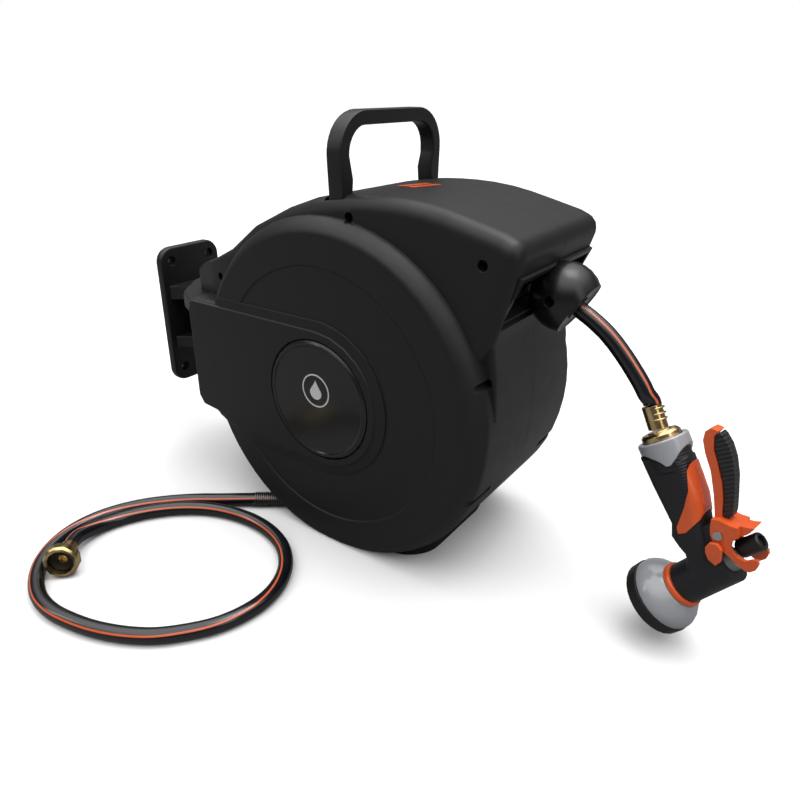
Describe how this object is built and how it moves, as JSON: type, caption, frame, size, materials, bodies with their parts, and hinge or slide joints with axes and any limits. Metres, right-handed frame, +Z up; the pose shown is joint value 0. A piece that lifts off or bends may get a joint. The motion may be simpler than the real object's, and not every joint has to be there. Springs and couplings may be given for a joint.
{
  "type": "retractable hose reel",
  "caption": "Retractable garden hose reel: round spring-driven case with carry handle, swivelling wall bracket, ball stop, spray nozzle and lead-in hose with a swivel nut.",
  "frame": {"origin": "on the floor under the middle of the reel's body, bracket to outlet, without the free hoses and nozzle", "axes": "+Z up, +X from the wall bracket towards the hose outlet, +Y across the case; the spool turns about Y"},
  "size_m": [0.773, 0.4871, 0.4625],
  "materials": {
    "case_shell": "fine moulded texture, charcoal",
    "black_satin": "satin black",
    "hub_gloss": "polished black",
    "zinc_steel": "zinc plated",
    "spring_steel": "plain spring steel",
    "ball_rubber": "smooth soft rubber",
    "inner_plastic": "moulded grey",
    "hose_skin": "glossy hose skin with a thin orange stripe",
    "bush_plastic": "moulded grey",
    "brass": "machined, bright",
    "seal_rubber": "matte black",
    "nozzle_grey": "smooth grey",
    "grip_rubber": "soft grip, finely ribbed",
    "orange_plastic": "smooth orange"
  },
  "bodies": {
    "case": {"case_left": "case_shell", "case_right": "case_shell", "base_foot": "black_satin", "carry_handle": "black_satin", "hub_cap_left": "hub_gloss", "hub_cap_right": "hub_gloss", "case_screw_top": "zinc_steel", "case_screw_front": "zinc_steel", "case_screw_rear": "zinc_steel", "outlet_frame": "black_satin", "ball_stop_near": "ball_rubber", "ball_stop_far": "ball_rubber", "ball_screw_1": "zinc_steel", "ball_screw_2": "zinc_steel", "ball_clamp_screw": "zinc_steel", "main_axle": "zinc_steel", "axle_bush_left": "bush_plastic", "axle_bush_right": "bush_plastic", "power_spring": "spring_steel", "pawl_pin": "zinc_steel", "water_swivel": "brass", "feed_pipe": "hose_skin", "inlet_gland": "black_satin", "guard_spring": "spring_steel", "lead_in_hose": "hose_skin", "lead_in_ferrule": "brass", "lead_in_tail": "brass", "inner_hose": "hose_skin", "outlet_hose": "hose_skin", "nozzle_ferrule": "brass", "nozzle_nut": "brass", "nozzle_collar": "nozzle_grey", "nozzle_body": "grip_rubber", "grip_inlay": "orange_plastic", "barrel_cap": "nozzle_grey", "lever_pin": "zinc_steel", "valve_pin_cap": "orange_plastic", "head_ring": "orange_plastic", "pivot_pin": "zinc_steel"},
    "bracket": {"wall_bracket": "black_satin"},
    "spool": {"spool_core": "inner_plastic", "spool_flange_left": "inner_plastic", "spool_flange_right": "inner_plastic", "hose_winding": "hose_skin", "spring_cup": "zinc_steel", "ratchet_wheel": "zinc_steel"},
    "guide_roller_upper": {"roller_upper": "zinc_steel"},
    "guide_roller_lower": {"roller_lower": "zinc_steel"},
    "pawl": {"pawl": "zinc_steel"},
    "lever": {"trigger_lever": "orange_plastic", "lever_pad": "grip_rubber"},
    "spray_head": {"head_dial": "nozzle_grey", "face_ring": "seal_rubber", "spray_plate": "black_satin"},
    "knob": {"flow_knob": "black_satin"},
    "nut": {"swivel_nut": "brass", "nut_washer": "seal_rubber"}
  },
  "joints": [
    {"name": "bracket_swivel", "type": "hinge", "parent": "case", "child": "bracket", "pos_m": [-0.19015, 0, 0.1785], "axis": [0, 0, 1], "range_deg": [-60, 60]},
    {"name": "spool_spin", "type": "hinge", "parent": "case", "child": "spool", "pos_m": [0.07185, 0, 0.1785], "axis": [0, 1, 0], "continuous": true},
    {"name": "roller_upper_spin", "type": "hinge", "parent": "case", "child": "guide_roller_upper", "pos_m": [0.25667, 0, 0.33158], "axis": [0, 1, 0], "continuous": true},
    {"name": "roller_lower_spin", "type": "hinge", "parent": "case", "child": "guide_roller_lower", "pos_m": [0.24464, 0, 0.30466], "axis": [0, 1, 0], "continuous": true},
    {"name": "pawl_lift", "type": "hinge", "parent": "case", "child": "pawl", "pos_m": [0.07185, 0.0655, 0.2445], "axis": [0, 1, 0], "range_deg": [0, 22]},
    {"name": "lever_squeeze", "type": "hinge", "parent": "case", "child": "lever", "pos_m": [0.45856, -0.02651, 0.13472], "axis": [-0.1654, -0.9838, 0.0684], "range_deg": [0, 8], "stiffness_Nm_per_rad": 1, "springref_deg": -6.88},
    {"name": "head_turn", "type": "hinge", "parent": "case", "child": "spray_head", "pos_m": [0.43755, -0.02772, 0.0666], "axis": [-0.5949, 0.0442, -0.8026], "continuous": true},
    {"name": "knob_turn", "type": "hinge", "parent": "case", "child": "knob", "pos_m": [0.47355, -0.02987, 0.12271], "axis": [0.6569, -0.0582, 0.7518], "range_deg": [0, 270]},
    {"name": "nut_turn", "type": "hinge", "parent": "case", "child": "nut", "pos_m": [-0.13075, -0.3054, 0.0166], "axis": [0.6934, -0.7135, 0.1005], "continuous": true}
  ]
}
